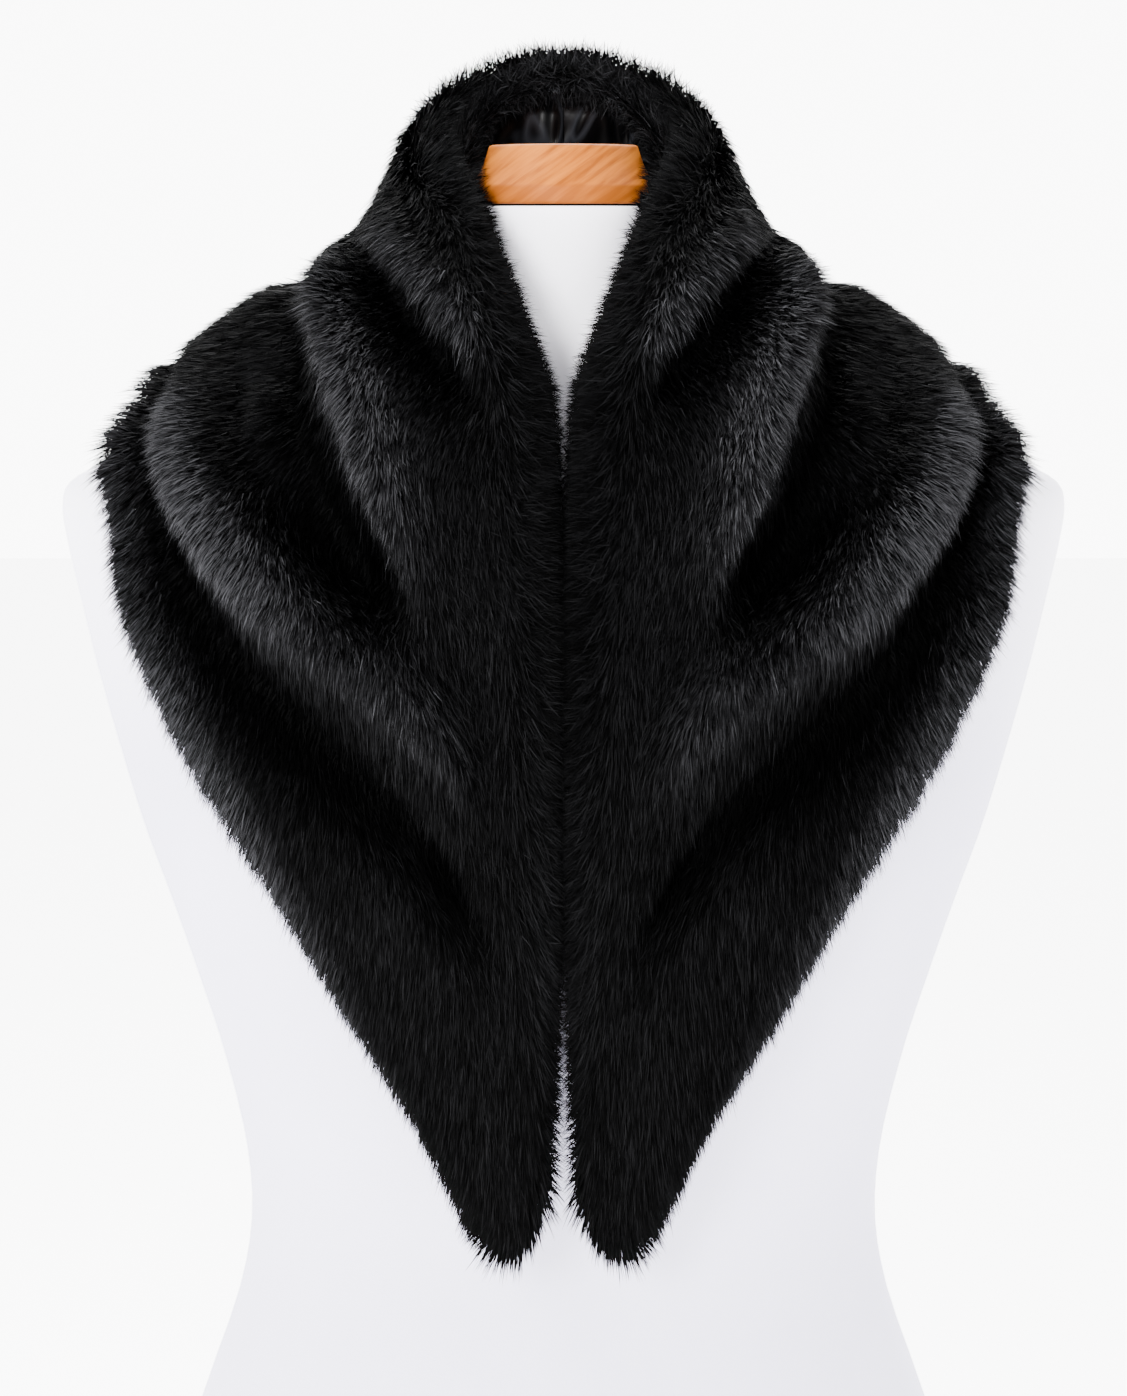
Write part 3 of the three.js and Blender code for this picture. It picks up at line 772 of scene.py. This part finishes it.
def makeCap():
    c = capShape
    rings = np.array(capRings, float)
    z, wide, front, back = (rings[:, k] / 1000 for k in range(4))
    bpy.ops.object.select_all(action="DESELECT")
    bpy.ops.mesh.primitive_circle_add(vertices=c["segments"], radius=1, fill_type="NGON", location=(0, 0, 0))
    cap = bpy.context.object
    cap.name = "woodenNeckCap"
    deep, middle = (front + back) / 2, (back - front) / 2 + shiftY
    bpy.ops.object.mode_set(mode="EDIT")
    bpy.ops.mesh.select_all(action="SELECT")
    bpy.ops.transform.resize(value=(wide[0], deep[0], 1))
    bpy.ops.transform.translate(value=(0, middle[0], z[0]))
    for k in range(1, len(rings)):
        bpy.ops.mesh.extrude_region_move(
            TRANSFORM_OT_translate={"value": (0, middle[k] - middle[k - 1], z[k] - z[k - 1])})
        bpy.ops.transform.resize(value=(wide[k] / wide[k - 1], deep[k] / deep[k - 1], 1))
    for inset, raised in c["steps"]:  # a slightly domed top
        bpy.ops.mesh.inset(thickness=inset)
        bpy.ops.transform.translate(value=(0, 0, raised))
    bpy.ops.mesh.select_all(action="SELECT")
    bpy.ops.mesh.normals_make_consistent(inside=False)
    bpy.ops.object.mode_set(mode="OBJECT")
    bevel = cap.modifiers.new("softEdges", "BEVEL")
    bevel.width, bevel.segments = c["bevel"], c["bevelSegments"]
    bevel.limit_method, bevel.angle_limit = "ANGLE", math.radians(c["bevelAngle"])
    bpy.ops.object.modifier_apply(modifier="softEdges")
    bpy.ops.object.transform_apply(location=True, rotation=True, scale=True)
    bpy.ops.object.shade_smooth_by_angle(angle=math.radians(c["smoothAngle"]))
    return cap


cap = makeCap()
print("neck cap made")


# Materials

def newMaterial(name):
    material = bpy.data.materials.new(name)
    material.use_nodes = True
    return material, material.node_tree, material.node_tree.nodes["Principled BSDF"]


def node(tree, kind, **values):
    made = tree.nodes.new(kind)
    for key, value in values.items():
        if key.startswith("in_"):
            made.inputs[key[3:].replace("_", " ")].default_value = value
        else:
            setattr(made, key, value)
    return made


def ramp(tree, source, stops):
    made = tree.nodes.new("ShaderNodeValToRGB")
    while len(made.color_ramp.elements) < len(stops):
        made.color_ramp.elements.new(0.5)
    for element, (place, colour) in zip(made.color_ramp.elements, stops):
        element.position = place
        element.color = (*colour, 1)
    tree.links.new(source, made.inputs["Fac"])
    return made.outputs["Color"]


def bumped(tree, surface, source, strength, distance):
    bump = node(tree, "ShaderNodeBump", in_Strength=strength, in_Distance=distance)
    tree.links.new(source, bump.inputs["Height"])
    tree.links.new(bump.outputs["Normal"], surface.inputs["Normal"])


def gloss(surface, roughness, specular):
    surface.inputs["Roughness"].default_value = roughness
    surface.inputs["Specular IOR Level"].default_value = specular


def noiseAt(tree, place, **values):
    grain = node(tree, "ShaderNodeTexNoise", **values)
    tree.links.new(place, grain.inputs["Vector"])
    return grain.outputs["Fac"]


def turnedPlace(tree, place, degrees, stretch):  # drawn out along a slanted line
    turn = node(tree, "ShaderNodeMapping", vector_type="TEXTURE")
    turn.inputs["Rotation"].default_value = (0.0, math.radians(degrees), 0.0)
    turn.inputs["Scale"].default_value = (1.0, 1.0, stretch)
    tree.links.new(place, turn.inputs["Vector"])
    return turn.outputs["Vector"]


def risingWithHeight(tree, place, low, high):  # 0 below one height, 1 above another
    split = node(tree, "ShaderNodeSeparateXYZ")
    tree.links.new(place, split.inputs["Vector"])
    height = node(tree, "ShaderNodeMapRange", in_From_Min=low, in_From_Max=high)
    tree.links.new(split.outputs["Z"], height.inputs["Value"])
    return height.outputs["Result"]


def mixed(tree, share, first, second):
    mix = node(tree, "ShaderNodeMix", data_type="RGBA")
    tree.links.new(share, mix.inputs["Factor"])
    tree.links.new(first, mix.inputs["A"])
    tree.links.new(second, mix.inputs["B"])
    return mix.outputs["Result"]


def furMaterial():
    material, tree, surface = newMaterial("blackLongPile")
    uvMap = node(tree, "ShaderNodeUVMap", uv_map="OFBake")
    split = node(tree, "ShaderNodeSeparateXYZ")
    tree.links.new(uvMap.outputs["UV"], split.inputs["Vector"])
    # the strand's painted shade and painted highlight, with its random tone, read from the map's first side
    tone = ramp(tree, split.outputs["X"], [
        (0.0, (0.0003, 0.0003, 0.0003)), (0.2, (0.0014, 0.0014, 0.0015)), (0.5, (0.0062, 0.0062, 0.0067)),
        (0.75, (0.0145, 0.0145, 0.0158)), (1.0, (0.040, 0.040, 0.0435)),
    ])
    # painted shade: each strand is painted darkest at its root, where the pile shades it, and lightest at
    # its tip
    along = ramp(tree, split.outputs["Y"], [
        (0.0, (0.05, 0.05, 0.05)), (0.5, (0.6, 0.6, 0.6)), (1.0, (1, 1, 1)),
    ])
    mix = node(tree, "ShaderNodeMix", data_type="RGBA", blend_type="MULTIPLY")
    mix.inputs["Factor"].default_value = 1
    tree.links.new(tone, mix.inputs["A"])
    tree.links.new(along, mix.inputs["B"])
    tree.links.new(mix.outputs["Result"], surface.inputs["Base Color"])
    gloss(surface, roughness=0.5, specular=0.008)
    return material


def peltMaterial():
    material, tree, surface = newMaterial("blackUndercoat")
    place = node(tree, "ShaderNodeTexCoord").outputs["Object"]
    grain = noiseAt(tree, place, in_Scale=900.0, in_Detail=3.0)
    colour = ramp(tree, grain, [(0.35, (0.0006, 0.0006, 0.0006)), (0.7, (0.003, 0.003, 0.0033))])
    tree.links.new(colour, surface.inputs["Base Color"])
    bumped(tree, surface, grain, strength=0.6, distance=0.002)
    gloss(surface, roughness=0.9, specular=0.005)
    return material


def satinMaterial():
    material, tree, surface = newMaterial("blackSatin")
    place = node(tree, "ShaderNodeTexCoord").outputs["Object"]
    slanted = turnedPlace(tree, place, degrees=24, stretch=2.6)
    crease = noiseAt(tree, slanted, in_Scale=62.0, in_Detail=1.0, in_Distortion=1.0)
    # painted highlight: the narrow lighter band in the ramp is a sheen painted along the crease ridges
    colour = ramp(tree, crease, [
        (0.35, (0.0003, 0.0003, 0.0004)), (0.52, (0.001, 0.001, 0.0012)),
        (0.58, (0.012, 0.0125, 0.015)), (0.65, (0.001, 0.001, 0.0012)),
    ])
    tree.links.new(colour, surface.inputs["Base Color"])
    bumped(tree, surface, crease, strength=0.9, distance=0.005)
    gloss(surface, roughness=0.32, specular=0.06)
    return material


def knitMaterial():  # lighter towards the neck
    material, tree, surface = newMaterial("whiteKnitCover")
    place = node(tree, "ShaderNodeTexCoord").outputs["Object"]
    soft = noiseAt(tree, place, in_Scale=14.0, in_Detail=3.0)
    fine = noiseAt(tree, place, in_Scale=850.0, in_Detail=2.0)
    # painted light: the cover is painted much lighter towards the neck, lifting the shade that the collar
    # casts there
    lower = ramp(tree, soft, [(0.3, (0.57, 0.555, 0.68)), (0.7, (0.61, 0.595, 0.72))])
    upper = ramp(tree, soft, [(0.3, (0.93, 0.91, 0.98)), (0.7, (0.95, 0.93, 0.99))])
    colour = mixed(tree, risingWithHeight(tree, place, low=0.44, high=0.62), lower, upper)
    tree.links.new(colour, surface.inputs["Base Color"])
    bumped(tree, surface, fine, strength=0.18, distance=0.0008)
    gloss(surface, roughness=0.85, specular=0.25)
    return material


def woodMaterial():  # a darker rim under the coved top
    material, tree, surface = newMaterial("beechWood")
    place = node(tree, "ShaderNodeTexCoord").outputs["Object"]
    slanted = turnedPlace(tree, place, degrees=-36, stretch=0.09)
    grain = noiseAt(tree, slanted, in_Scale=34.0, in_Detail=5.0, in_Distortion=0.3)
    rim = ramp(tree, grain, [(0.4, (0.19, 0.048, 0.004)), (0.62, (0.26, 0.072, 0.008))])
    top = ramp(tree, grain, [
        (0.34, (0.17, 0.041, 0.002)), (0.5, (0.265, 0.073, 0.005)), (0.64, (0.325, 0.096, 0.0075)),
    ])
    colour = mixed(tree, risingWithHeight(tree, place, low=0.6766, high=0.6776), rim, top)
    tree.links.new(colour, surface.inputs["Base Color"])
    bumped(tree, surface, grain, strength=0.12, distance=0.0005)
    gloss(surface, roughness=0.5, specular=0.06)
    return material


furLook, peltLook, satinLook = furMaterial(), peltMaterial(), satinMaterial()
for piece in allPiles:
    piece.data.materials.append(furLook)
for piece in (peltLeft, peltRight):
    piece.data.materials.append(peltLook)
for piece in (liningLeft, liningRight):
    piece.data.materials.append(satinLook)
form.data.materials.append(knitMaterial())
cap.data.materials.append(woodMaterial())
print("materials set")


# Every piece rides on the root body, and the CAD parts are hidden

slots = {
    "fur": [peltLeft, peltRight, *allPiles],
    "lining": [liningLeft, liningRight],
    "form": [form],
    "cap": [cap],
}
for slotName, pieces in slots.items():
    for piece in pieces:
        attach(piece, "root")
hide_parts("fur_left")
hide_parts("fur_right")
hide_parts("lining_left")
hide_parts("lining_right")
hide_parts("form_torso")
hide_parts("neck_cap")
